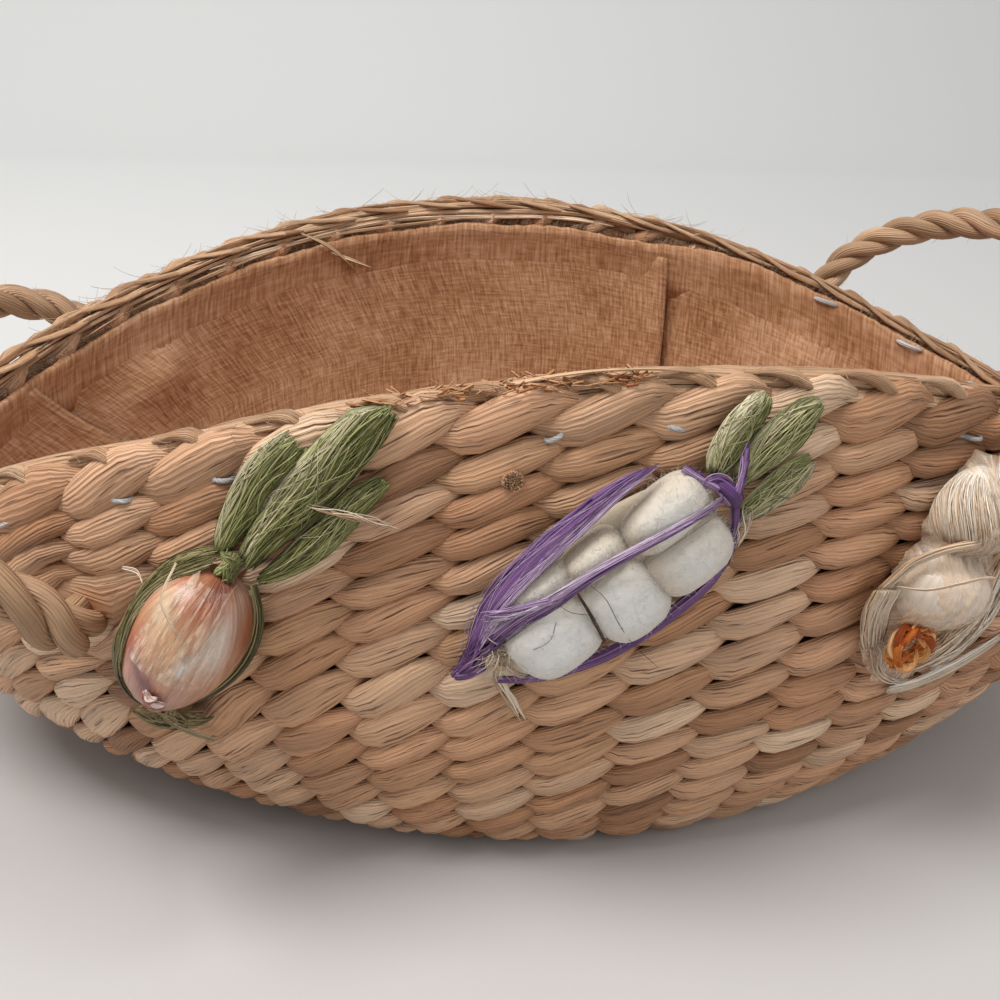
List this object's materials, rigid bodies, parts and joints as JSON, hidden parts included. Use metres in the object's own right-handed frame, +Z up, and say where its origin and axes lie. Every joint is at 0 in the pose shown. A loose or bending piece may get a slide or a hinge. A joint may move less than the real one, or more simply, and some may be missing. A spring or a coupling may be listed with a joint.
{
  "type": "woven storage basket",
  "caption": "Boat-shaped lined storage basket twined from plant fibre, with two hinged rope loop handles and fibre onion, pod and garlic ornaments sewn on one long side.",
  "frame": {"origin": "centre of the flat underside of the base", "axes": "+Z up, +X along the basket towards the end whose handle stands up, -Y towards the decorated long side"},
  "size_m": [0.4594, 0.2484, 0.1502],
  "materials": {
    "weave": "matt dried water hyacinth",
    "stakes": "matt, dark, dried stalk strips",
    "lining_cloth": "coarse plain burlap",
    "thread": "off-white sewing thread",
    "rope": "laid three-strand fibre rope",
    "onion_skin": "satin pressed fibre with an orange top",
    "green_leaf": "dry twisted green-brown fibre",
    "cotton": "off-white matt cotton",
    "purple_raffia": "satin dyed raffia",
    "straw": "pale straw fibre",
    "roots": "orange-brown fibre tuft"
  },
  "bodies": {
    "basket": {"base_mat": "weave", "course_01": "weave", "course_02": "weave", "course_03": "weave", "course_04": "weave", "course_05": "weave", "course_06": "weave", "course_07": "weave", "course_08": "weave", "course_09": "weave", "course_10": "weave", "course_11": "weave", "course_12": "weave", "course_13": "weave", "course_14": "weave", "course_15": "weave", "course_16": "weave", "rim_border": "weave", "stake_frame": "stakes", "lining_bottom": "lining_cloth", "lining_right": "lining_cloth", "lining_back": "lining_cloth", "lining_left": "lining_cloth", "lining_front": "lining_cloth", "lining_thread": "thread", "rope_tail_right_back": "rope", "rope_tail_left_back": "rope", "rope_tail_left_front": "rope", "rope_tail_right_front": "rope", "onion_bulb": "onion_skin", "onion_wrap": "green_leaf", "onion_neck_tie": "green_leaf", "onion_root_tuft": "straw", "onion_leaf_left": "green_leaf", "onion_leaf_middle": "green_leaf", "onion_leaf_right": "green_leaf", "pod_clove_left_1": "cotton", "pod_clove_left_2": "cotton", "pod_clove_left_3": "cotton", "pod_clove_right_1": "cotton", "pod_clove_right_2": "cotton", "pod_clove_right_3": "cotton", "pod_strip_left": "purple_raffia", "pod_strip_middle": "purple_raffia", "pod_strip_right": "purple_raffia", "pod_knot": "purple_raffia", "pod_tail": "purple_raffia", "pod_leaf_left": "green_leaf", "pod_leaf_middle": "green_leaf", "pod_leaf_right": "green_leaf", "garlic_bulb_upper": "cotton", "garlic_bulb_lower": "cotton", "garlic_neck": "straw", "garlic_root_ball": "roots", "garlic_side_loop": "straw", "garlic_band": "straw"},
    "right_handle": {"handle_right": "rope"},
    "left_handle": {"handle_left": "rope"}
  },
  "joints": [
    {"name": "right_handle_swing", "type": "hinge", "parent": "basket", "child": "right_handle", "pos_m": [0.13577, 0, 0.07599], "axis": [0, 1, 0], "range_deg": [-18, 80]},
    {"name": "left_handle_swing", "type": "hinge", "parent": "basket", "child": "left_handle", "pos_m": [-0.13577, 0, 0.07599], "axis": [0, -1, 0], "range_deg": [-53, 45]}
  ]
}
